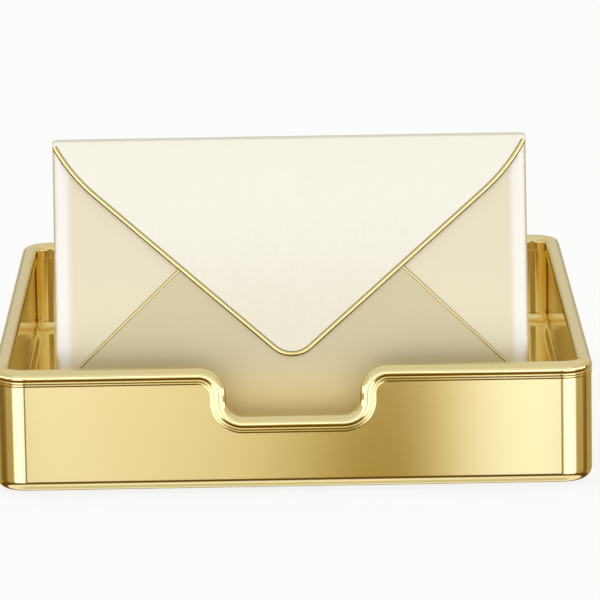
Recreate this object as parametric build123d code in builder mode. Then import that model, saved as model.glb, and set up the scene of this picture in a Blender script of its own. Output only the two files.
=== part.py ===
from build123d import *
import math
import os

# An open-top letter tray in gold-coloured metal with a scooped front, and a stiff metal envelope that
# leans in it. All lengths are in millimetres. +Z is up, -Y is the front, and z = 0 is the table.

os.makedirs("parts", exist_ok=True)

# ---------------------------------------------------------------- tray: driving dimensions
tray_width = 254.0
tray_depth = 305.0
tray_height = 52.5
corner_radius = 14.0
foot_height = 1.5
floor_height = 11.9

# ---------------------------------------------------------------- rim moulding
rim_width = 6.7
rim_height = 7.0
reed_count = 2
reed_height = 1.3
reed_depth = 0.45
tongue_depth = 3.0
tongue_clearance = 0.2
rim_seam_inset = 6.0

# ---------------------------------------------------------------- scoop in the front
notch_depth = 21.2
notch_width = 56.2
notch_shoulder_radius = 12.0
notch_foot_radius = 6.8

# ---------------------------------------------------------------- sheet metal skins
shell_recess = 0.25
shell_sheet = 1.2
shell_bottom_radius = 5.0
shell_flange = 32.0
flange_hole_radius = 6.0
pan_recess = 0.8
pan_sheet = 1.0
pan_floor_radius = 3.5

# ---------------------------------------------------------------- base plate, stand-offs, screws and feet
base_sheet = 1.5
base_clearance = 0.5
screw_inset = 16.0
screw_spacing = 100.0
screw_radius = 1.5
screw_clearance = 0.1
thread_clearance = 0.03
screw_head_radius = 2.8
screw_head_height = 1.2
screw_slot_width = 0.8
screw_slot_depth = 0.6
screw_bite = 5.0
standoff_radius = 3.5
foot_radius = 8.0
foot_inset = 22.0
foot_chamfer = 0.4

# ---------------------------------------------------------------- envelope
envelope_lean = 12.0
envelope_setback = 22.0
envelope_width = 202.4
envelope_height = 132.0
envelope_thickness = 7.0
envelope_corner = 4.0
envelope_top_corner = 3.0
nose_width = 3.5
nose_crown = 0.1
web_width = 4.0
panel_sheet = 1.6
bottom_flap_sheet = 0.8
bottom_flap_edge_height = 27.3
bottom_flap_angle = 43.5
bottom_flap_tip_radius = 14.0
bottom_piping_radius = 0.55
side_flap_tip = 12.0
side_flap_tip_height = 66.0
side_flap_shoulder = 6.0
side_flap_tip_radius = 5.0

# ---------------------------------------------------------------- top flap and its hinge
flap_sheet = 1.2
flap_clearance = 0.15
flap_fold_radius = 2.4
flap_edge_inset = 2.0
flap_corner_drop = 2.8
flap_tip_height = 36.6
flap_angle = 41.1
flap_tip_radius = 10.4
flap_curve_reach = 17.0
flap_piping_radius = 1.1
knuckle_count = 5
knuckle_radius = 1.5
knuckle_gap = 0.3
hinge_rod_radius = 0.8
hinge_running_clearance = 0.05
cover_clearance = 0.4

# ---------------------------------------------------------------- slotted rail under the envelope
rail_length = 184.0
rail_depth = 20.0
rail_height = 12.0
rail_front_cheek = 4.0
rail_slot_floor = 2.0
rail_slot_clearance = 0.35
rail_corner = 3.0
rail_edge = 0.8
seat_gap = 0.2
rail_screw_spacing = 80.0
rail_screw_radius = 1.25
rail_screw_inset = 3.2
rail_screw_bite = 6.0

# ---------------------------------------------------------------- worked-out places
base_z = foot_height
rim_top = base_z + tray_height
skin_top = rim_top - rim_height
floor_top = base_z + floor_height
plate_bottom = base_z + shell_sheet
plate_top = plate_bottom + base_sheet
pan_wall = rim_width - pan_recess - pan_sheet
front_face = -tray_depth / 2
bead_radius = rim_width / 2
cut_margin = 2.0


def inset_outline(inset):
    """The tray's rounded plan, drawn inset from its outer size, all corners on the same centres."""
    return RectangleRounded(tray_width - 2 * inset, tray_depth - 2 * inset, corner_radius - inset)


def scoop_line(end, drop):
    """The rim line across the front, from right to left, dropped by an even distance into the wall."""
    side = notch_width / 2 + drop
    low = rim_top - notch_depth - drop
    high = rim_top - drop
    shoulder = notch_shoulder_radius - drop
    foot = notch_foot_radius + drop
    return FilletPolyline(
        (end, high), (side, high), (side, low), (-side, low), (-side, high), (-end, high),
        radius=[shoulder, foot, foot, shoulder],
    )


def cut_scoop():
    """Cuts the scoop out of the front wall of a sheet metal skin."""
    end = notch_width / 2 + notch_shoulder_radius + cut_margin
    with BuildSketch(Plane.XZ.offset(-front_face + cut_margin)) as scoop:
        with BuildLine():
            edge = scoop_line(end, rim_height)
            Polyline(edge @ 1, (-end, rim_top), (end, rim_top), edge @ 0)
        make_face()
    extrude(scoop.sketch, amount=-(rim_width + 2 * cut_margin), mode=Mode.SUBTRACT)


# ================================================================= outer shell
# A drawn band with a rolled bottom edge and a flange that turns in under the tray.
screw_places = [
    (side * (tray_width / 2 - screw_inset), row * screw_spacing) for side in (-1, 1) for row in (-1, 0, 1)
]

with BuildPart() as outer_shell:
    with BuildSketch(Plane.XY.offset(base_z)):
        inset_outline(shell_recess)
    extrude(amount=skin_top - base_z)
    fillet(outer_shell.faces().sort_by(Axis.Z)[0].edges(), shell_bottom_radius)
    offset(amount=-shell_sheet, openings=outer_shell.faces().sort_by(Axis.Z)[-1])
    with BuildSketch(Plane.XY.offset(base_z)):
        RectangleRounded(tray_width - 2 * shell_flange, tray_depth - 2 * shell_flange, flange_hole_radius)
        with Locations(*screw_places):
            Circle(screw_radius + screw_clearance)
    extrude(amount=shell_sheet, mode=Mode.SUBTRACT)
    cut_scoop()
outer_shell.part.label = "outer_shell"
export_step(outer_shell.part, "parts/outer_shell.step")

# ================================================================= inner pan
# A deep-drawn tub whose walls stand just inside the rim moulding's inner lip.
rail_y = front_face + envelope_setback - rail_front_cheek + rail_depth / 2 - bottom_flap_sheet
rail_screw_y = rail_y + rail_depth / 2 - rail_screw_inset
rail_screw_places = [(step * rail_screw_spacing, rail_screw_y) for step in (-1, 0, 1)]

with BuildPart() as inner_pan:
    with BuildSketch(Plane.XY.offset(floor_top - pan_sheet)):
        inset_outline(pan_wall)
    extrude(amount=skin_top - floor_top + pan_sheet)
    fillet(inner_pan.faces().sort_by(Axis.Z)[0].edges(), pan_floor_radius + pan_sheet)
    offset(amount=-pan_sheet, openings=inner_pan.faces().sort_by(Axis.Z)[-1])
    with BuildSketch(Plane.XY.offset(floor_top - pan_sheet)):
        with Locations(*rail_screw_places):
            Circle(rail_screw_radius + screw_clearance)
    extrude(amount=pan_sheet, mode=Mode.SUBTRACT)
    cut_scoop()
inner_pan.part.label = "inner_pan"
export_step(inner_pan.part, "parts/inner_pan.step")

# ================================================================= rim moulding
# One moulding caps both skins. Its section has a full round top, an undercut and fine reeds outside, a
# plain lip inside and a tongue that drops between the skins. It runs round the tray and down the scoop.
tongue_outside = bead_radius - shell_recess - shell_sheet - tongue_clearance
tongue_inside = bead_radius - pan_wall + tongue_clearance


def rim_section(x):
    """The section at a seam of the front, with its x pointing out of the tray and y = 0 at the crown."""
    with BuildSketch(Plane(origin=(x, -rim_y, rim_top), x_dir=(0, -1, 0), z_dir=(-1, 0, 0))) as section:
        with BuildLine():
            groove = bead_radius - reed_depth
            crown = ThreePointArc((bead_radius, -bead_radius), (0, 0), (-bead_radius, -bead_radius))
            inner = Polyline(
                crown @ 1,
                (-bead_radius, -rim_height),
                (tongue_inside, -rim_height),
                (tongue_inside, -rim_height - tongue_depth),
                (tongue_outside, -rim_height - tongue_depth),
                (tongue_outside, -rim_height),
                (groove, -rim_height),
            )
            reeds = []
            for step in range(reed_count):
                reed_foot = -rim_height + step * reed_height
                reeds += [(bead_radius, reed_foot + reed_height / 2), (groove, reed_foot + reed_height)]
            Polyline(inner @ 1, *reeds, crown @ 0)
        make_face()
    return section.sketch


rim_x = tray_width / 2 - bead_radius
rim_y = tray_depth / 2 - bead_radius
seam_x = tray_width / 2 - corner_radius - rim_seam_inset

with BuildPart() as rim_moulding:
    with BuildLine(Plane.XY.offset(rim_top)) as round_the_sides:
        FilletPolyline(
            (-seam_x, -rim_y), (-rim_x, -rim_y), (-rim_x, rim_y), (rim_x, rim_y), (rim_x, -rim_y),
            (seam_x, -rim_y),
            radius=corner_radius - bead_radius,
        )
    sweep(rim_section(-seam_x), path=round_the_sides.line)
    with BuildLine(Plane.XZ.offset(rim_y)) as across_the_front:
        scoop_line(seam_x, 0)
    sweep(rim_section(seam_x), path=across_the_front.line)
rim_moulding.part.label = "rim_moulding"
export_step(rim_moulding.part, "parts/rim_moulding.step")

# ================================================================= base plate
with BuildPart() as base_plate:
    with BuildSketch(Plane.XY.offset(plate_bottom)):
        inset_outline(shell_recess + shell_bottom_radius + base_clearance)
        with Locations(*screw_places):
            Circle(screw_radius + screw_clearance, mode=Mode.SUBTRACT)
    extrude(amount=base_sheet)
base_plate.part.label = "base_plate"
export_step(base_plate.part, "parts/base_plate.step")

# ================================================================= stand-offs between plate and pan
# Hexagon bar, tapped through.
with BuildPart() as pan_standoffs:
    with BuildSketch(Plane.XY.offset(plate_top)):
        with Locations(*screw_places):
            RegularPolygon(standoff_radius, 6)
            Circle(screw_radius + thread_clearance, mode=Mode.SUBTRACT)
    extrude(amount=floor_top - pan_sheet - plate_top)
pan_standoffs.part.label = "pan_standoffs"
export_step(pan_standoffs.part, "parts/pan_standoffs.step")

# ================================================================= base screws
# They clamp flange and plate to the stand-offs. Their slotted heads stay clear of the table.
with BuildPart() as base_screws:
    with BuildSketch(Plane.XY.offset(base_z - screw_head_height)):
        with Locations(*screw_places):
            Circle(screw_head_radius)
    extrude(amount=screw_head_height)
    with BuildSketch(Plane.XY.offset(base_z)):
        with Locations(*screw_places):
            Circle(screw_radius)
    extrude(amount=shell_sheet + base_sheet + screw_bite)
    with BuildSketch(Plane.XY.offset(base_z - screw_head_height)):
        with Locations(*screw_places):
            Rectangle(2 * screw_head_radius, screw_slot_width)
    extrude(amount=screw_slot_depth, mode=Mode.SUBTRACT)
base_screws.part.label = "base_screws"
export_step(base_screws.part, "parts/base_screws.step")

# ================================================================= four stick-on feet
for end, end_side in (("front", -1), ("rear", 1)):
    for hand, hand_side in (("left", -1), ("right", 1)):
        foot_x = hand_side * (tray_width / 2 - foot_inset)
        foot_y = end_side * (tray_depth / 2 - foot_inset)
        with BuildPart() as foot:
            with BuildSketch():
                with Locations((foot_x, foot_y)):
                    Circle(foot_radius)
            extrude(amount=foot_height)
            chamfer(foot.edges().sort_by(Axis.Z)[0], foot_chamfer)
        foot.part.label = f"foot_{end}_{hand}"
        export_step(foot.part, f"parts/foot_{end}_{hand}.step")

# ================================================================= the envelope's own planes
# u runs across, v up along the lean and n out of the front. n = 0 is the face of the side flaps and
# v = 0 the bottom edge.
lean = math.radians(envelope_lean)
up_dir = Vector(0, math.sin(lean), math.cos(lean))
out_dir = Vector(0, -math.cos(lean), math.sin(lean))
slot_origin = Vector(0, front_face + envelope_setback, floor_top + rail_slot_floor)
envelope_origin = slot_origin + up_dir * seat_gap
face_plane = Plane(origin=envelope_origin, x_dir=(1, 0, 0), z_dir=out_dir)
side_plane = Plane(origin=envelope_origin, x_dir=out_dir, z_dir=(-1, 0, 0))

half_width = envelope_width / 2
half_inside = half_width - nose_width
back_n = -envelope_thickness
hinge_n = back_n + knuckle_radius
hinge_v = envelope_height - knuckle_radius
hinge_span = 2 * (half_inside - knuckle_gap)
knuckle_pitch = hinge_span / knuckle_count
knuckle_length = knuckle_pitch - knuckle_gap
knuckle_centres = [-hinge_span / 2 + knuckle_pitch * (i + 0.5) for i in range(knuckle_count)]
frame_top = envelope_height - flap_sheet - cover_clearance
web_top = envelope_height - 2 * knuckle_radius - cover_clearance


def round_hinge_line(centres, radius, length, mode=Mode.ADD):
    """Cylinders on the hinge axis, centred at the given places across the envelope."""
    for centre in centres:
        with BuildSketch(side_plane.offset(-centre - length / 2)) as disc:
            with Locations((hinge_n, hinge_v)):
                Circle(radius)
        extrude(disc.sketch, amount=length, mode=mode)


def block_hinge_line(centres, length, low, high, mode):
    """Blocks across the envelope between two (n, v) corners, centred at the given places."""
    for centre in centres:
        with BuildSketch(side_plane.offset(-centre - length / 2)) as block:
            with Locations(((low[0] + high[0]) / 2, (low[1] + high[1]) / 2)):
                Rectangle(high[0] - low[0], high[1] - low[1])
        extrude(block.sketch, amount=length, mode=mode)


# ================================================================= edge frame
# A half-round nose down both sides and under the bottom, with a web that spaces back and front.
with BuildPart() as envelope_frame:
    with BuildSketch(face_plane) as frame_outline:
        with Locations((0, frame_top / 2)):
            Rectangle(envelope_width, frame_top)
        fillet(frame_outline.vertices().group_by(Axis.Y)[0], envelope_corner)
    extrude(amount=-envelope_thickness)
    rounded = [
        edge
        for face in envelope_frame.faces().filter_by(Axis(envelope_origin, out_dir))
        for edge in face.edges()
        if face_plane.to_local_coords(edge.center()).Y < frame_top - nose_crown
    ]
    fillet(rounded, envelope_thickness / 2 - nose_crown)
    with BuildSketch(face_plane):
        with Locations((0, nose_width + frame_top / 2)):
            Rectangle(2 * half_inside, frame_top)
    extrude(amount=-envelope_thickness, mode=Mode.SUBTRACT)
    with BuildSketch(face_plane.offset(-panel_sheet)):
        with Locations((0, (nose_width + web_top) / 2)):
            Rectangle(2 * half_inside, web_top - nose_width)
        with Locations((0, nose_width + web_width + web_top / 2)):
            Rectangle(2 * (half_inside - web_width), web_top, mode=Mode.SUBTRACT)
    extrude(amount=-(envelope_thickness - 2 * panel_sheet))
envelope_frame.part.label = "envelope_frame"
export_step(envelope_frame.part, "parts/envelope_frame.step")

# ================================================================= back panel with its knuckles
back_knuckles = knuckle_centres[0::2]
flap_knuckles = knuckle_centres[1::2]

with BuildPart() as envelope_back:
    with BuildSketch(face_plane.offset(back_n)):
        with Locations((0, (nose_width + hinge_v) / 2)):
            Rectangle(2 * half_inside, hinge_v - nose_width)
    extrude(amount=panel_sheet)
    block_hinge_line(
        flap_knuckles, knuckle_pitch + knuckle_gap, (back_n - cut_margin, web_top),
        (cut_margin, envelope_height), Mode.SUBTRACT,
    )
    round_hinge_line(back_knuckles, knuckle_radius, knuckle_length)
    round_hinge_line(
        back_knuckles, hinge_rod_radius + hinge_running_clearance, knuckle_pitch + knuckle_gap,
        Mode.SUBTRACT,
    )
envelope_back.part.label = "envelope_back"
export_step(envelope_back.part, "parts/envelope_back.step")

# ================================================================= hinge rod
with BuildPart() as flap_hinge_rod:
    round_hinge_line([0], hinge_rod_radius, hinge_span - knuckle_gap)
flap_hinge_rod.part.label = "flap_hinge_rod"
export_step(flap_hinge_rod.part, "parts/flap_hinge_rod.step")

# ================================================================= side flaps
for hand, hand_side in (("left", -1), ("right", 1)):
    with BuildPart() as side_flap:
        with BuildSketch(face_plane) as side_outline:
            with BuildLine():
                Polyline(
                    (hand_side * half_inside, nose_width),
                    (hand_side * half_inside, frame_top),
                    (hand_side * (half_inside - side_flap_shoulder), frame_top),
                    (hand_side * side_flap_tip, side_flap_tip_height),
                    close=True,
                )
            make_face()
            fillet(side_outline.vertices().sort_by_distance((0, side_flap_tip_height))[0], side_flap_tip_radius)
        extrude(amount=-panel_sheet)
    side_flap.part.label = f"{hand}_side_flap"
    export_step(side_flap.part, f"parts/{hand}_side_flap.step")

# ================================================================= bottom flap
bottom_slope = math.tan(math.radians(bottom_flap_angle))
bottom_tip_v = bottom_flap_edge_height + half_inside * bottom_slope


def bottom_flap_edge(outset):
    """The flap's two straight sloping edges and rounded tip, moved out by an even distance."""
    rise = outset / math.cos(math.radians(bottom_flap_angle))
    return FilletPolyline(
        (-half_inside, bottom_flap_edge_height + rise), (0, bottom_tip_v + rise),
        (half_inside, bottom_flap_edge_height + rise),
        radius=bottom_flap_tip_radius + outset,
    )


with BuildPart() as bottom_flap:
    with BuildSketch(face_plane):
        with BuildLine():
            sloping = bottom_flap_edge(0)
            Polyline(sloping @ 1, (half_inside, nose_width), (-half_inside, nose_width), sloping @ 0)
        make_face()
    extrude(amount=bottom_flap_sheet)
bottom_flap.part.label = "bottom_flap"
export_step(bottom_flap.part, "parts/bottom_flap.step")

with BuildPart() as bottom_flap_piping:
    with BuildLine(face_plane.offset(bottom_piping_radius)) as bottom_piping_path:
        bottom_flap_edge(bottom_piping_radius)
    with BuildSketch(Plane(bottom_piping_path.line @ 0, z_dir=bottom_piping_path.line % 0)):
        Circle(bottom_piping_radius)
    sweep(path=bottom_piping_path.line)
bottom_flap_piping.part.label = "bottom_flap_piping"
export_step(bottom_flap_piping.part, "parts/bottom_flap_piping.step")

# ================================================================= top flap
# One sheet that is rolled round the hinge at the back, crosses the top and turns down the front.
flap_back_n = 2 * bottom_piping_radius + flap_clearance
flap_front_n = flap_back_n + flap_sheet
flap_slope = math.tan(math.radians(flap_angle))
flap_corner_u = half_width - flap_edge_inset
flap_corner_v = envelope_height - flap_corner_drop
flap_curve_u = flap_corner_u - flap_curve_reach
flap_curve_v = flap_tip_height + flap_curve_u * flap_slope
flap_chord = math.atan2(flap_corner_v - flap_curve_v, flap_curve_reach)
flap_start_angle = 2 * flap_chord - math.radians(flap_angle)
flap_chord_length = math.hypot(flap_curve_reach, flap_corner_v - flap_curve_v)
flap_sagitta = flap_chord_length / 2 * math.tan((flap_start_angle - math.radians(flap_angle)) / 4)


def flap_edge(outset):
    """The flap's edge from left to right: a slow curve, a straight run, the tip and back up."""
    run = math.radians(flap_angle)
    start_u = flap_corner_u + outset * math.sin(flap_start_angle)
    start_v = flap_corner_v - outset * math.cos(flap_start_angle)
    middle_u = (flap_corner_u + flap_curve_u) / 2 + (flap_sagitta + outset) * math.sin(flap_chord)
    middle_v = (flap_corner_v + flap_curve_v) / 2 - (flap_sagitta + outset) * math.cos(flap_chord)
    bend_u = flap_curve_u + outset * math.sin(run)
    bend_v = flap_curve_v - outset * math.cos(run)
    tip_v = flap_tip_height - outset / math.cos(run)
    falling = ThreePointArc((-start_u, start_v), (-middle_u, middle_v), (-bend_u, bend_v))
    FilletPolyline(
        (-bend_u, bend_v), (0, tip_v), (bend_u, bend_v), radius=flap_tip_radius + outset
    )
    rising = ThreePointArc((bend_u, bend_v), (middle_u, middle_v), (start_u, start_v))
    return falling, rising


with BuildPart() as top_flap:
    with BuildSketch(side_plane.offset(-half_width)):
        with BuildLine():
            outside = FilletPolyline(
                (flap_front_n, 0), (flap_front_n, envelope_height), (hinge_n, envelope_height),
                radius=flap_fold_radius,
            )
            inside = FilletPolyline(
                (hinge_n, envelope_height - flap_sheet), (flap_back_n, envelope_height - flap_sheet),
                (flap_back_n, 0),
                radius=flap_fold_radius - flap_sheet,
            )
            Line(outside @ 1, inside @ 0)
            Line(inside @ 1, outside @ 0)
        make_face()
    extrude(amount=envelope_width)
    with BuildSketch(face_plane.offset(back_n - cut_margin)) as flap_outline:
        with BuildLine():
            left, right = flap_edge(0)
            Polyline(
                left @ 0, (-half_width, flap_corner_v), (-half_width, envelope_height),
                (half_width, envelope_height), (half_width, flap_corner_v), right @ 1,
            )
        make_face()
        fillet(flap_outline.vertices().group_by(Axis.Y)[-1], envelope_top_corner - knuckle_gap)
    extrude(amount=flap_front_n - back_n + 2 * cut_margin, mode=Mode.INTERSECT)
    block_hinge_line(
        back_knuckles, knuckle_pitch + knuckle_gap, (back_n - cut_margin, web_top),
        (hinge_n + knuckle_radius + knuckle_gap, envelope_height + cut_margin), Mode.SUBTRACT,
    )
    block_hinge_line(
        (-half_width, half_width), 2 * (nose_width + knuckle_gap), (back_n - cut_margin, web_top),
        (hinge_n + knuckle_radius + knuckle_gap, envelope_height + cut_margin), Mode.SUBTRACT,
    )
    round_hinge_line(flap_knuckles, knuckle_radius, knuckle_length)
    round_hinge_line(
        flap_knuckles, hinge_rod_radius + hinge_running_clearance, knuckle_pitch + knuckle_gap,
        Mode.SUBTRACT,
    )
top_flap.part.label = "top_flap"
export_step(top_flap.part, "parts/top_flap.step")

with BuildPart() as flap_piping:
    with BuildLine(face_plane.offset(flap_back_n + flap_piping_radius)) as flap_piping_path:
        flap_edge(flap_piping_radius)
    with BuildSketch(Plane(flap_piping_path.line @ 0, z_dir=flap_piping_path.line % 0)):
        Circle(flap_piping_radius)
    sweep(path=flap_piping_path.line)
flap_piping.part.label = "flap_piping"
export_step(flap_piping.part, "parts/flap_piping.step")

# ================================================================= slotted rail
# A low bar on the pan's floor. Its leaning slot takes the envelope's bottom edge.
with BuildPart() as envelope_rail:
    with BuildSketch(Plane.XY.offset(floor_top)):
        with Locations((0, rail_y)):
            RectangleRounded(rail_length, rail_depth, rail_corner)
    extrude(amount=rail_height)
    chamfer(envelope_rail.faces().sort_by(Axis.Z)[-1].edges(), rail_edge)
    with BuildSketch(Plane(origin=slot_origin, x_dir=out_dir, z_dir=(-1, 0, 0)).offset(-tray_width / 2)):
        with Locations(((back_n + bottom_flap_sheet) / 2, rail_height)):
            Rectangle(envelope_thickness + bottom_flap_sheet + 2 * rail_slot_clearance, 2 * rail_height)
    extrude(amount=tray_width, mode=Mode.SUBTRACT)
    with BuildSketch(Plane.XY.offset(floor_top)):
        with Locations(*rail_screw_places):
            Circle(rail_screw_radius + thread_clearance)
    extrude(amount=rail_screw_bite + cut_margin, mode=Mode.SUBTRACT)
envelope_rail.part.label = "envelope_rail"
export_step(envelope_rail.part, "parts/envelope_rail.step")

with BuildPart() as rail_screws:
    with BuildSketch(Plane.XY.offset(floor_top - pan_sheet - screw_head_height)):
        with Locations(*rail_screw_places):
            Circle(screw_head_radius)
    extrude(amount=screw_head_height)
    with BuildSketch(Plane.XY.offset(floor_top - pan_sheet)):
        with Locations(*rail_screw_places):
            Circle(rail_screw_radius)
    extrude(amount=pan_sheet + rail_screw_bite)
rail_screws.part.label = "rail_screws"
export_step(rail_screws.part, "parts/rail_screws.step")
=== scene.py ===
import bmesh
import bpy
import math
from mathutils import Euler, Matrix, Vector


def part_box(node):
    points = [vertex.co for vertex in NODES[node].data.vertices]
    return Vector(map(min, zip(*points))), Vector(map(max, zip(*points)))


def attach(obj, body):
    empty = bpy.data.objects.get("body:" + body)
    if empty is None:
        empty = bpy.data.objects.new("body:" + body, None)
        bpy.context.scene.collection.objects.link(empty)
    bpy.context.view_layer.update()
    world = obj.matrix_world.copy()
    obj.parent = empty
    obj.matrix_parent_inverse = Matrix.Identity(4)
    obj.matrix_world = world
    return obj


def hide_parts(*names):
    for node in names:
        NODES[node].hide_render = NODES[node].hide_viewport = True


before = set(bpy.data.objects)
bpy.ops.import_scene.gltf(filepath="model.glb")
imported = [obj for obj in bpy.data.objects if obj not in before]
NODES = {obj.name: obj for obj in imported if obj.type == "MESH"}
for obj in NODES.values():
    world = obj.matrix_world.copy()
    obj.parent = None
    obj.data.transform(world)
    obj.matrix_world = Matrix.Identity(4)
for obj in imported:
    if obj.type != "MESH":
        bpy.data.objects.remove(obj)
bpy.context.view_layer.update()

# The looks of a gold open-top letter tray with a scooped front and a stiff metal envelope that stands in
# it. Everything is in metres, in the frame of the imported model: +Z up, -Y the scooped front.

MM = 0.001

# ---------------------------------------------------------------- sizes of the tray
RIM_LOW, RIM_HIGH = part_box("rim_moulding")
SHELL_LOW, SHELL_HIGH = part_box("outer_shell")
PAN_LOW, PAN_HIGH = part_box("inner_pan")
HALF_W = RIM_HIGH.x
HALF_D = RIM_HIGH.y
RIM_TOP = RIM_HIGH.z
SKIN_TOP = SHELL_HIGH.z
BASE_Z = SHELL_LOW.z
CORNER_R = 14 * MM
RIM_W = 6.7 * MM
BEAD_R = RIM_W / 2
NOTCH_DEPTH = 21.2 * MM
NOTCH_HALF = 28.1 * MM
SHOULDER_R = 12.0 * MM
FOOT_R = 6.8 * MM
SHELL_SHEET = 1.2 * MM
SHELL_BOTTOM_R = 5.0 * MM
SHELL_FLANGE = 32 * MM
FLANGE_HOLE_R = 6 * MM
PAN_SHEET = 1.0 * MM
PAN_FLOOR_R = 3.5 * MM
TONGUE = 3.0 * MM
TONGUE_OUT = BEAD_R - 1.65 * MM
TONGUE_IN = BEAD_R - 4.7 * MM
LIP_CHAMFER = 0.3 * MM
BEAD_END = -10  # degrees below the bead's widest line, where the cove begins
REED = 1.0 * MM
REED_CUT = 0.14 * MM
SCOOP_BEND_REACH = 6 * MM

# ---------------------------------------------------------------- sizes of the envelope
LEAN = math.radians(12)
UP = Vector((0, math.sin(LEAN), math.cos(LEAN)))
OUT = Vector((0, -math.cos(LEAN), math.sin(LEAN)))
FLAP_LOW, FLAP_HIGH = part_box("top_flap")
ENV_W = FLAP_HIGH.x - FLAP_LOW.x
ENV_H = 132 * MM
ENV_T = 7 * MM
NOSE = 3.5 * MM
NOSE_CORNER_R = 0.5 * MM
SETBACK = 22 * MM
SLOT_FLOOR = 2 * MM
SEAT_GAP = 0.2 * MM
ENV_ORIGIN = Vector((0, SETBACK - HALF_D, PAN_LOW.z + PAN_SHEET + SLOT_FLOOR)) + UP * SEAT_GAP
HALF_INSIDE = ENV_W / 2 - NOSE
FRAME_TOP = 130.4 * MM
PANEL = 1.6 * MM
WEB = 4 * MM
WEB_TOP = ENV_H - 3.4 * MM
FLAP_FRONT = 2.45 * MM
FLAP_CORNER_R = 1.7 * MM
FOLD_R = 1.2 * MM
FOLD_TOP = ENV_H - 0.25 * MM
CREASE = ENV_H - 3.0 * MM
CREASE_HALF = 0.3 * MM
CREASE_DEPTH = 0.4 * MM

# ---------------------------------------------------------------- painted reflection, highlight and shade of the envelope, by place
# Painted reflection: the gold of the tray's inner wall, painted into the panels' lower part.
TRAY_REFLECTION_FROM, TRAY_REFLECTION_TO = 24 * MM, 59 * MM
PAINTED_TRAY_REFLECTION = (0.80, 0.64, 0.29)
# Painted highlight: a near-white strip along the envelope's rounded side edges.
EDGE_HIGHLIGHT_FROM, EDGE_HIGHLIGHT_TO = HALF_INSIDE - 5 * MM, HALF_INSIDE - MM
PAINTED_EDGE_HIGHLIGHT = (0.96, 0.94, 0.90)
# Painted shade: heights over which the envelope's tone deepens downwards.
PAINTED_SHADE_LOW, PAINTED_SHADE_HIGH = 45 * MM, 130 * MM

ARC_STEPS = 20
BEND_STEPS = 12
SHARP = math.radians(34)


# ================================================================= meshes
def finish_mesh(name, mesh_bm, body, material, node):
    """Turns a bmesh into a smooth-shaded piece that rides on a body and stands for a CAD node."""
    bmesh.ops.remove_doubles(mesh_bm, verts=mesh_bm.verts, dist=1e-7)
    bmesh.ops.recalc_face_normals(mesh_bm, faces=mesh_bm.faces)
    mesh = bpy.data.meshes.new(name)
    mesh_bm.to_mesh(mesh)
    mesh_bm.free()
    mesh.shade_smooth()
    mesh.set_sharp_from_angle(angle=SHARP)
    piece = bpy.data.objects.new(name, mesh)
    bpy.context.scene.collection.objects.link(piece)
    mesh.materials.append(material)
    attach(piece, body)
    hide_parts(node)
    # Flat faces stay flat right up to the rolled edges beside them.
    weighted = piece.modifiers.new("weighted", "WEIGHTED_NORMAL")
    weighted.keep_sharp = True
    weighted.weight = 80
    return piece


def loft(mesh_bm, rings, closed=False, caps=False):
    """Faces between rings of equally many points. Each ring is a closed loop."""
    rows = [[mesh_bm.verts.new(p) for p in ring] for ring in rings]
    pairs = list(zip(rows, rows[1:] + rows[:1])) if closed else list(zip(rows, rows[1:]))
    count = len(rows[0])
    for low, high in pairs:
        for i in range(count):
            j = (i + 1) % count
            mesh_bm.faces.new((low[i], low[j], high[j], high[i]))
    if caps:
        mesh_bm.faces.new(rows[0])
        mesh_bm.faces.new(reversed(rows[-1]))


def arc(centre, radius, start, end, steps=ARC_STEPS):
    """Points on an arc in a plane, as pairs, from one angle in degrees to another."""
    angles = [math.radians(start + (end - start) * i / steps) for i in range(steps + 1)]
    return [(centre[0] + radius * math.cos(a), centre[1] + radius * math.sin(a)) for a in angles]


def plan_ring(inset, z, radius=None):
    """The tray's rounded plan at one height, drawn in by an even inset."""
    r = CORNER_R - inset if radius is None else radius
    x, y = HALF_W - inset - r, HALF_D - inset - r
    ring = []
    for quarter, (cx, cy) in enumerate(((x, y), (-x, y), (-x, -y), (x, -y))):
        ring += arc((cx, cy), r, 90 * quarter, 90 * quarter + 90)
    return [Vector((px, py, z)) for px, py in ring]


def scoop_points(end, drop):
    """The rim line across the front from right to left, as (x, z, tilt), dropped into the wall by drop.

    tilt is the angle in degrees from up to the side that faces away from the wall, towards +X."""
    low, high = RIM_TOP - NOTCH_DEPTH - drop, RIM_TOP - drop
    shoulder, foot = SHOULDER_R - drop, FOOT_R + drop
    shoulder_x, foot_x = NOTCH_HALF + drop + shoulder, NOTCH_HALF + drop - foot
    turns = [90 * i / ARC_STEPS for i in range(ARC_STEPS + 1)]
    line = [(end, high, 0.0)]
    for turn in turns:
        a = math.radians(turn)
        line.append((shoulder_x - shoulder * math.sin(a), high - shoulder + shoulder * math.cos(a), -turn))
    for turn in turns:
        a = math.radians(turn)
        line.append((foot_x + foot * math.cos(a), low + foot - foot * math.sin(a), turn - 90))
    return line + [(-x, z, -tilt) for x, z, tilt in reversed(line)]


def solid_tool(rings):
    """A tool for a cut or a union: a closed solid through like outlines."""
    tool = bmesh.new()
    loft(tool, rings, caps=True)
    bmesh.ops.recalc_face_normals(tool, faces=tool.faces)
    mesh = bpy.data.meshes.new("tool")
    tool.to_mesh(mesh)
    tool.free()
    return bpy.data.objects.new("tool", mesh)


def scoop_cutter():
    """A prism that cuts the scoop out of the front wall of a skin."""
    points = scoop_points(HALF_W / 2, RIM_TOP - SKIN_TOP)[1:-1]
    outline = [(x, z) for x, z, _ in points]
    outline += [(outline[-1][0], RIM_TOP), (outline[0][0], RIM_TOP)]
    reach = 5 * MM
    return solid_tool([[Vector((x, y, z)) for x, z in outline]
                       for y in (-HALF_D - reach, -HALF_D + RIM_W + reach)])


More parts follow.
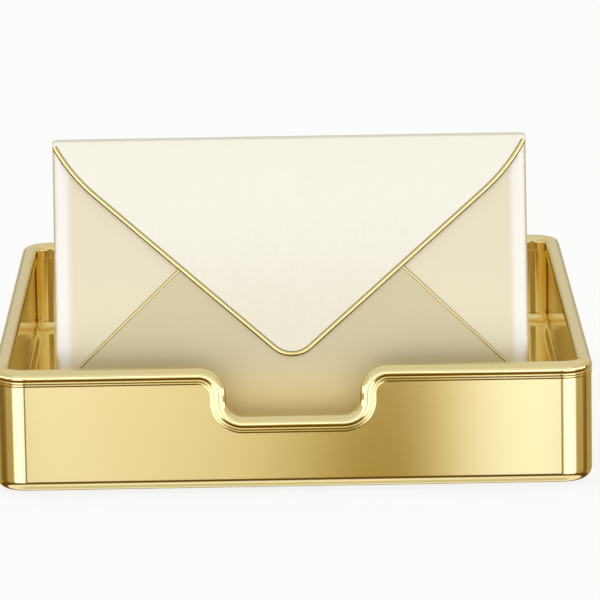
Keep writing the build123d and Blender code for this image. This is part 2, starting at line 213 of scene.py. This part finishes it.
def combine(piece, tool, operation):
    """Cuts a tool out of a piece or adds it, and keeps the result as the piece's own mesh."""
    bpy.context.scene.collection.objects.link(tool)
    others = list(piece.modifiers)
    for other in others:
        other.show_viewport = False
    cut = piece.modifiers.new("combine", "BOOLEAN")
    cut.object = tool
    cut.operation = operation
    cut.solver = "EXACT"
    graph = bpy.context.evaluated_depsgraph_get()
    graph.update()
    made = bpy.data.meshes.new_from_object(piece.evaluated_get(graph), depsgraph=graph)
    piece.modifiers.remove(cut)
    for other in others:
        other.show_viewport = True
    piece.data = made
    made.shade_smooth()
    made.set_sharp_from_angle(angle=SHARP)
    bpy.data.objects.remove(tool)


# ================================================================= shader expressions
class Socket:
    """A node socket that Python operators can work with: each adds a Math node."""

    def __init__(self, tree, socket):
        self.tree = tree
        self.socket = socket

    def node(self, kind, settings=(), *values, output=0, **named):
        """Adds a node with its settings first, then values or links on its sockets."""
        made = self.tree.nodes.new(kind)
        for key, value in dict(settings).items():
            if key == "stops":
                ramp = made.color_ramp
                while len(ramp.elements) < len(value):
                    ramp.elements.new(1)
                for element, (place, colour) in zip(ramp.elements, value):
                    element.position = place
                    element.color = colour if len(colour) == 4 else (*colour, 1)
            else:
                setattr(made, key, value)
        for key, value in [*enumerate(values), *named.items()]:
            target = made.inputs[key.replace("_", " ") if isinstance(key, str) else key]
            if isinstance(value, Socket):
                self.tree.links.new(value.socket, target)
            elif value is not None:
                target.default_value = value
        return Socket(self.tree, made.outputs[output])

    def maths(self, operation, *values):
        return self.node("ShaderNodeMath", {"operation": operation}, *values)

    def __add__(self, other): return self.maths("ADD", self, other)
    def __radd__(self, other): return self.maths("ADD", other, self)
    def __sub__(self, other): return self.maths("SUBTRACT", self, other)
    def __mul__(self, other): return self.maths("MULTIPLY", self, other)
    def __truediv__(self, other): return self.maths("DIVIDE", self, other)

    def between(self, low, high):
        """0 below low, 1 above high and smooth in between."""
        return self.node("ShaderNodeMapRange", {"interpolation_type": "SMOOTHSTEP"},
                         self, low, high, 0.0, 1.0)

    def tint(self, first, second):
        """A colour from first at 0 to second at 1. Either may be a socket."""
        first, second = (c if isinstance(c, Socket) or len(c) == 4 else (*c, 1) for c in (first, second))
        return self.node("ShaderNodeMix", {"data_type": "RGBA"}, self, None, None, None, None, None,
                         first, second, output=2)


def new_material(name):
    """A node material with its Principled shader and its object coordinates as sockets."""
    material = bpy.data.materials.new(name)
    material.use_nodes = True
    tree = material.node_tree
    shader = tree.nodes["Principled BSDF"]
    start = Socket(tree, None)
    place = start.node("ShaderNodeTexCoord", output=3)
    return material, shader, start, place


def noise(place, scale, detail=3.0, stretch=(1, 1, 1)):
    """Noise between 0 and 1 at so many per metre, drawn out along an axis by stretch."""
    drawn = place.node("ShaderNodeMapping", {}, place, None, None, stretch)
    return place.node("ShaderNodeTexNoise", {}, drawn, None, scale, detail)


def feed(shader, **sockets):
    """Sets or links the shader's sockets by name."""
    for key, value in sockets.items():
        target = shader.inputs[key.replace("_", " ")]
        if isinstance(value, Socket):
            value.tree.links.new(value.socket, target)
        else:
            target.default_value = value


def bump(height, strength, distance):
    return height.node("ShaderNodeBump", {}, strength, distance, None, height)


def gold(name, base, deep, roughness, spread, grain_scale, grain_depth, grain_stretch=(1, 1, 1)):
    """A gold finish: tone and gloss drift slowly, and fine grain lies over both."""
    material, shader, start, place = new_material(name)
    drift = noise(place, 9.0, detail=2.0)
    grain = noise(place, grain_scale, detail=4.0, stretch=grain_stretch)
    mixed = drift * 0.6 + grain * 0.4
    feed(
        shader,
        Base_Color=mixed.between(0.3, 0.7).tint(deep, base),
        Metallic=1.0,
        Roughness=roughness + (mixed - 0.5) * spread,
        Normal=bump(grain, 0.25, grain_depth),
    )
    return material


def envelope_tone(across, rise, tone):
    """The panels' tone: a painted highlight along the side edges, and a painted reflection of the gold tray
    that makes it warmer towards the bottom.
    """
    # Painted highlight along the side edges.
    pale = across.between(EDGE_HIGHLIGHT_FROM, EDGE_HIGHLIGHT_TO).tint(tone, PAINTED_EDGE_HIGHLIGHT)
    # Painted reflection of the gold tray, warmer towards the bottom.
    return rise.between(TRAY_REFLECTION_FROM, TRAY_REFLECTION_TO).tint(PAINTED_TRAY_REFLECTION, pale)


def champagne(name, base, deep, roughness, by_place=True):
    """Pale champagne metal, brushed up and down, with a faint mottle. Painted shade makes it deeper lower
    down.
    """
    material, shader, start, place = new_material(name)
    streaks = noise(place, 2200, detail=3.0, stretch=(1, 0.02, 0.02))
    mottle = noise(place, 420, detail=4.0)
    mixed = streaks * 0.4 + mottle * 0.6
    across, rise = (place.node("ShaderNodeSeparateXYZ", {}, place, output=i) for i in (0, 2))
    across = across.maths("ABSOLUTE", across)
    # The metal's own mottle mixed with painted shade that deepens the tone lower down.
    mottle_and_painted_shade = mixed * 0.4 + rise.between(PAINTED_SHADE_LOW, PAINTED_SHADE_HIGH) * 0.6
    tone = mottle_and_painted_shade.between(0.15, 0.85).tint(deep, base)
    feed(
        shader,
        Base_Color=envelope_tone(across, rise, tone) if by_place else tone,
        Metallic=1.0,
        Roughness=roughness + (mixed - 0.5) * 0.12,
        Normal=bump(mixed, 0.2, 0.00003),
    )
    return material


def piping_gold():
    """Polished gold with painted shade down both flanks, where the round line meets the panels."""
    material, shader, start, place = new_material("piping_gold")
    normal = start.node("ShaderNodeTexCoord", output=1)
    facing = normal.node("ShaderNodeVectorMath", {"operation": "DOT_PRODUCT"}, normal, tuple(OUT), output=1)
    grain = noise(place, 1500)
    # Painted shade: the base colour darkens where the surface turns away from the envelope's front, in the
    # creases beside the panels.
    feed(shader, Base_Color=(facing + (grain - 0.5) * 0.1).between(0.5, 0.9).tint(
        (0.13, 0.09, 0.02), (0.93, 0.79, 0.38)), Metallic=1.0, Roughness=0.12 + (grain - 0.5) * 0.04)
    return material


def plain_steel():
    material, shader, start, place = new_material("steel")
    grain = noise(place, 1500, detail=3.0, stretch=(0.1, 1, 1))
    feed(shader, Base_Color=grain.between(0.3, 0.7).tint((0.50, 0.49, 0.47), (0.60, 0.59, 0.56)),
         Metallic=1.0, Roughness=0.38 + (grain - 0.5) * 0.1, Normal=bump(grain, 0.2, 0.00002))
    return material


def foot_rubber():
    material, shader, start, place = new_material("rubber")
    grain = noise(place, 2500, detail=4.0)
    feed(shader, Base_Color=grain.between(0.3, 0.7).tint((0.018, 0.018, 0.018), (0.03, 0.03, 0.03)),
         Roughness=0.7 + (grain - 0.5) * 0.2, Normal=bump(grain, 0.3, 0.00004))
    return material


POLISHED = gold("polished_gold", (0.94, 0.81, 0.44), (0.92, 0.78, 0.40), 0.10, 0.04, 900, 0.00001)
SATIN = gold("satin_gold", (0.94, 0.80, 0.43), (0.92, 0.78, 0.41), 0.10, 0.03, 1400, 0.000005, (0.12, 1, 1))
LINER = gold("liner_gold", (0.93, 0.77, 0.36), (0.90, 0.73, 0.32), 0.12, 0.05, 1100, 0.00002)
PIPING = piping_gold()
FLAP_METAL = champagne("flap_champagne", (0.97, 0.95, 0.86), (0.87, 0.82, 0.68), 0.30, by_place=False)
PANEL_METAL = champagne("panel_champagne", (0.83, 0.77, 0.60), (0.83, 0.77, 0.59), 0.48)
BACK_METAL = champagne("back_champagne", (0.88, 0.82, 0.66), (0.82, 0.75, 0.57), 0.42, by_place=False)
# Painted shade and painted reflection: a darker, warmer copy of the panel metal for the lower bottom flap.
SHADED_LOWER_METAL = champagne("shaded_lower_champagne", (0.74, 0.66, 0.47), (0.68, 0.60, 0.41), 0.48)
STEEL = plain_steel()
RUBBER = foot_rubber()


# ================================================================= tray
def rim_profile():
    """The moulding's section as (out, up) from its crown: full round, cove, two reeds, lip, tongue."""
    low = SKIN_TOP - RIM_TOP
    section = arc((0, -BEAD_R), BEAD_R, 180, BEAD_END, 2 * ARC_STEPS + 2)
    section.append((BEAD_R - 2.2 * REED_CUT, low + 2.02 * REED))
    for step in (2, 1):
        top = low + step * REED
        section += [(BEAD_R - 0.05 * MM, top), (BEAD_R, top - 0.05 * REED), (BEAD_R, top - 0.45 * REED),
                    (BEAD_R - REED_CUT, top - 0.97 * REED)]
    section += [(BEAD_R - REED_CUT, low), (TONGUE_OUT, low), (TONGUE_OUT, low - TONGUE),
                (TONGUE_IN, low - TONGUE), (TONGUE_IN, low), (-BEAD_R + LIP_CHAMFER, low),
                (-BEAD_R, low + LIP_CHAMFER)]
    return section


def rim_moulding():
    """One moulding swept round the plan and down the scoop."""
    section = rim_profile()
    r = CORNER_R - BEAD_R
    x, y = HALF_W - CORNER_R, HALF_D - CORNER_R
    rings = []

    def ring(point, out, up):
        rings.append([point + out * a + up * b for a, b in section])

    def corner(quarter, cx, cy):
        for i in range(ARC_STEPS + 1):
            a = math.radians(90 * quarter + 90 * i / ARC_STEPS)
            out = Vector((math.cos(a), math.sin(a), 0))
            ring(Vector((cx, cy, RIM_TOP)) + out * r, out, Vector((0, 0, 1)))

    for quarter, (cx, cy) in enumerate(((x, y), (-x, y), (-x, -y))):
        corner(quarter, cx, cy)
    for px, pz, tilt in reversed(scoop_points(x - SCOOP_BEND_REACH, 0)):
        a = math.radians(tilt)
        up = Vector((math.sin(a), 0, math.cos(a)))
        ring(Vector((px, -HALF_D + BEAD_R, pz)), Vector((0, -1, 0)), up)
    corner(3, x, -y)
    moulding = bmesh.new()
    loft(moulding, rings, closed=True)
    finish_mesh("rim", moulding, "tray", POLISHED, "rim_moulding")


def outer_shell():
    """The drawn band with its rolled bottom edge and turned-in flange."""
    inset = HALF_W - SHELL_HIGH.x
    outer, inner = SHELL_BOTTOM_R, SHELL_BOTTOM_R - SHELL_SHEET
    corner = (inset + SHELL_BOTTOM_R, BASE_Z + SHELL_BOTTOM_R)
    profile = [(inset, SKIN_TOP, None)]
    profile += [(px, pz, None) for px, pz in arc(corner, outer, 180, 270, BEND_STEPS)]
    profile += [(SHELL_FLANGE, BASE_Z, FLANGE_HOLE_R), (SHELL_FLANGE, BASE_Z + SHELL_SHEET, FLANGE_HOLE_R)]
    profile += [(px, pz, None) for px, pz in arc(corner, inner, 270, 180, BEND_STEPS)]
    profile += [(inset + SHELL_SHEET, SKIN_TOP, None)]
    shell = bmesh.new()
    loft(shell, [plan_ring(i, z, r) for i, z, r in profile], closed=True)
    piece = finish_mesh("shell", shell, "tray", SATIN, "outer_shell")
    combine(piece, scoop_cutter(), "DIFFERENCE")


def inner_pan():
    """The tub: walls, floor and the radius between them."""
    inset = HALF_W - PAN_HIGH.x
    floor = PAN_LOW.z + PAN_SHEET
    outer, inner = PAN_FLOOR_R + PAN_SHEET, PAN_FLOOR_R
    corner = (inset + outer, floor + inner)
    profile = arc(corner, outer, 270, 180, 10) + [(inset, SKIN_TOP), (inset + PAN_SHEET, SKIN_TOP)]
    profile += arc(corner, inner, 180, 270, 10)
    tub = bmesh.new()
    loft(tub, [plan_ring(i, z) for i, z in profile], caps=True)
    piece = finish_mesh("liner", tub, "tray", LINER, "inner_pan")
    combine(piece, scoop_cutter(), "DIFFERENCE")


# ================================================================= envelope
def on_envelope(u, v, n):
    """A point by its place across, up along and out of the envelope's front."""
    return ENV_ORIGIN + Vector((u, 0, 0)) + UP * v + OUT * n


def envelope_edge():
    """The half-round nose down both sides and under the bottom, and the web between the panels."""
    nose = arc((0, -ENV_T / 2), ENV_T / 2, 90, -90, 24)
    r = NOSE_CORNER_R
    side, low = HALF_INSIDE - r, NOSE + r
    edge = bmesh.new()
    path = [((-HALF_INSIDE, FRAME_TOP), 180)]
    path += [((-side, low), a) for a in range(180, 271, 6)]
    path += [((side, low), a) for a in range(270, 361, 6)]
    path += [((HALF_INSIDE, FRAME_TOP), 360)]
    rings = []
    for (u, v), angle in path:
        a = math.radians(angle)
        reach = r if (u, v) in ((-side, low), (side, low)) else 0
        rings.append([
            on_envelope(u + (reach + a_out) * math.cos(a), v + (reach + a_out) * math.sin(a), n)
            for a_out, n in nose
        ])
    loft(edge, rings, caps=True)
    web_in = HALF_INSIDE - WEB
    outline = [(-HALF_INSIDE, WEB_TOP), (-HALF_INSIDE, NOSE), (HALF_INSIDE, NOSE), (HALF_INSIDE, WEB_TOP),
               (web_in, WEB_TOP), (web_in, NOSE + WEB), (-web_in, NOSE + WEB), (-web_in, WEB_TOP)]
    loft(edge, [[on_envelope(u, v, n) for u, v in outline] for n in (-PANEL, -ENV_T + PANEL)], caps=True)
    finish_mesh("envelope_edge", edge, "envelope", PANEL_METAL, "envelope_frame")


def top_flap():
    """The upper flap with a crisp fold and a crease below it across the front."""
    source = NODES["top_flap"]
    flap = bmesh.new()
    flap.from_mesh(source.data)
    flap.transform(source.matrix_world)
    piece = finish_mesh("flap", flap, "flap", FLAP_METAL, "top_flap")
    half = ENV_W / 2

    def fold_ring(angle):
        inset, n = FOLD_R * (1 - math.cos(angle)), FLAP_FRONT - FOLD_R * (1 - math.sin(angle))
        top = arc((half - FLAP_CORNER_R, FOLD_TOP - FLAP_CORNER_R), FLAP_CORNER_R - inset, 0, 90, 6)
        outline = [(half - inset, CREASE), *top, *((-u, v) for u, v in reversed(top)),
                   (inset - half, CREASE)]
        return [on_envelope(u, v, n) for u, v in outline]

    combine(piece, solid_tool([fold_ring(math.radians(a)) for a in range(0, 91, 15)]), "UNION")
    low, high = CREASE - CREASE_HALF, CREASE + CREASE_HALF
    groove = [(low, FLAP_FRONT + MM), (low, FLAP_FRONT), (CREASE, FLAP_FRONT - CREASE_DEPTH),
              (high, FLAP_FRONT), (high, FLAP_FRONT + MM)]
    ends = (-half - MM, half + MM)
    combine(piece, solid_tool([[on_envelope(u, v, n) for v, n in groove] for u in ends]), "DIFFERENCE")
    piece.modifiers.clear()
    piece.data.shade_flat()


rim_moulding()
outer_shell()
inner_pan()
envelope_edge()
top_flap()
for sheet_node, finish_used in (
    ("left_side_flap", PANEL_METAL), ("right_side_flap", PANEL_METAL), ("bottom_flap", SHADED_LOWER_METAL),
    ("envelope_back", BACK_METAL), ("flap_piping", PIPING), ("bottom_flap_piping", PIPING),
    ("envelope_rail", LINER), ("base_plate", STEEL), ("pan_standoffs", STEEL), ("base_screws", STEEL),
    ("rail_screws", STEEL), ("flap_hinge_rod", STEEL), ("foot_front_left", RUBBER),
    ("foot_front_right", RUBBER), ("foot_rear_left", RUBBER), ("foot_rear_right", RUBBER),
):
    NODES[sheet_node].data.materials.clear()
    NODES[sheet_node].data.materials.append(finish_used)


# ================================================================= studio
CAMERA_REACH = 2.285
CAMERA_X, CAMERA_HEIGHT = 0.0014, 0.5270
CAMERA_PITCH, CAMERA_ROLL, CAMERA_YAW = 11, 0.95, 0.055  # degrees
LENS = 332
CARD_Y, CARD_LOW, CARD_HIGH = -0.75, -0.25, -0.05
AROUND = (0.17, 0.12, 0.07)  # what the blurred front mirrors of the surroundings beside its card
FLOOR_RADIUS = 30


def studio_floor():
    """A wide pale floor that carries only a soft shadow."""
    mesh = bpy.data.meshes.new("floor")
    plane = bmesh.new()
    bmesh.ops.create_circle(plane, cap_ends=True, segments=96, radius=FLOOR_RADIUS)
    plane.to_mesh(mesh)
    plane.free()
    floor = bpy.data.objects.new("floor", mesh)
    bpy.context.scene.collection.objects.link(floor)
    material, shader, start, place = new_material("floor_paper")
    feed(shader, Base_Color=(0.12, 0.12, 0.12, 1), Roughness=0.9, Specular_IOR_Level=0.0,
         Emission_Color=(1, 1, 1, 1), Emission_Strength=0.84)
    mesh.materials.append(material)
    floor.visible_glossy = False
    floor.visible_shadow = False


def warm(level):
    """The tone that gold mirrors at one brightness: darker places are warmer."""
    return (level, level ** 1.3, level ** 2.4)


def ring_ramp(turn, stops):
    """Tones round the horizon by their angle from the front, + to the right."""
    places = [(angle / 360 + 0.5, tone) for angle, tone in stops]
    return turn.node("ShaderNodeValToRGB", {"stops": places}, turn)


def studio_world():
    """What the metal mirrors, by height and by the angle round from the front."""
    world = bpy.data.worlds.new("studio")
    bpy.context.scene.world = world
    world.use_nodes = True
    tree = world.node_tree
    direction = Socket(tree, None).node("ShaderNodeTexCoord", output=0)
    x, y, z = (direction.node("ShaderNodeSeparateXYZ", {}, direction, output=i) for i in range(3))
    turn = x.maths("ARCTAN2", x, y * -1.0) / math.tau + 0.5
    height = z.maths("ARCSINE", z) * (180 / math.pi)
    black, dark, mid, shine = warm(0.13), warm(0.18), warm(0.43), warm(0.95)
    dim, sky, glow = (0.50, 0.44, 0.30), (0.66, 0.62, 0.50), (0.84, 0.84, 0.80)
    white, overhead, strip = (1.8, 1.75, 1.75), (0.72, 0.71, 0.66), (0.64, 0.62, 0.47)
    belt = ring_ramp(turn, (
        (-180, mid), (-118, mid), (-106, dark), (-86, dark), (-76, mid), (-54, mid), (-46, white),
        (-13, white), (-8, black), (7, black), (19, white), (52, white), (62, mid), (88, mid), (95, dark),
        (106, dark), (118, mid), (180, mid)))
    line = ring_ramp(turn, (
        (-180, dim), (-124, dim), (-112, dark), (-104, dark), (-98, white), (98, white), (104, dark),
        (112, dark), (124, dim), (180, dim)))
    upper = ring_ramp(turn, ((-180, sky), (-60, sky), (-40, glow), (40, glow), (60, sky), (180, sky)))
    tone = height.between(30, 42).tint(upper, overhead)
    for low, high, below in ((3, 7, line), (-11, -8.5, belt), (-30, -27, black), (-48, -45, shine),
                             (-76, -70, strip)):
        tone = height.between(low, high).tint(below, tone)
    tree.links.new(tone.socket, tree.nodes["Background"].inputs["Color"])


def softbox(name, place, target, width, height, radiance, mirrored=True):
    """A flat light of a given brightness that the camera doesn't see."""
    light = bpy.data.lights.new(name, "AREA")
    light.shape = "RECTANGLE"
    light.size, light.size_y = width, height
    light.energy = math.pi * width * height * radiance
    lamp = bpy.data.objects.new(name, light)
    lamp.location = place
    lamp.rotation_euler = (Vector(target) - Vector(place)).to_track_quat("-Z", "Y").to_euler()
    lamp.visible_camera = False
    lamp.visible_glossy = mirrored
    bpy.context.scene.collection.objects.link(lamp)
    return light


def studio_lights():
    """The card that the flat front mirrors, with its tones from left to right, and the floor's light."""
    spread = 1 + (-HALF_D - CARD_Y) / CAMERA_REACH
    # Places are in millimetres on the tray's front, where each tone is seen.
    levels = ((-124, 1.0), (-70, 0.90), (-22, 0.79), (8, 0.57), (26, 0.40), (42, 0.36), (50, 0.41),
              (60, 0.60), (70, 0.84), (80, 1.0))
    tones = [(place, [part - rest for part, rest in zip(warm(level), AROUND)]) for place, level in levels]
    tones += [(place, (0.95, 1.08, 1.20)) for place in (96, 124)]
    tones = [(place * MM * spread, tone) for place, tone in tones]
    left, right = tones[0][0], tones[-1][0]
    middle = ((left + right) / 2, CARD_Y, (CARD_LOW + CARD_HIGH) / 2)
    card = softbox("front_card", middle, (middle[0], 0, middle[2]), right - left, CARD_HIGH - CARD_LOW, 1.0)
    card.use_nodes = True
    across = Socket(card.node_tree, None).node("ShaderNodeNewGeometry", output="Parametric")
    u = across.node("ShaderNodeSeparateXYZ", {}, across)
    stops = [((place - left) / (right - left), tone) for place, tone in tones]
    ramp = u.node("ShaderNodeValToRGB", {"stops": stops}, u)
    card.node_tree.links.new(ramp.socket, card.node_tree.nodes["Emission"].inputs["Color"])
    softbox("top_box", (0, 0.2, 2.6), (0, 0, 0), 3.2, 3.2, 1.2, mirrored=False)


def camera():
    """The photograph's view, solved from the tray's and the envelope's corners."""
    data = bpy.data.cameras.new("camera")
    data.sensor_width = 36
    data.lens = LENS
    data.clip_end = 100
    lens = bpy.data.objects.new("camera", data)
    pitch, roll, yaw = (math.radians(a) for a in (CAMERA_PITCH, CAMERA_ROLL, CAMERA_YAW))
    lens.location = (CAMERA_X, -HALF_D - CAMERA_REACH, CAMERA_HEIGHT)
    aim = Euler((math.pi / 2 - pitch, 0, -yaw)).to_matrix() @ Matrix.Rotation(-roll, 3, "Z")
    lens.rotation_euler = aim.to_euler()
    bpy.context.scene.collection.objects.link(lens)
    bpy.context.scene.camera = lens


studio_floor()
studio_world()
studio_lights()
camera()
bpy.context.scene.view_settings.view_transform = "Standard"
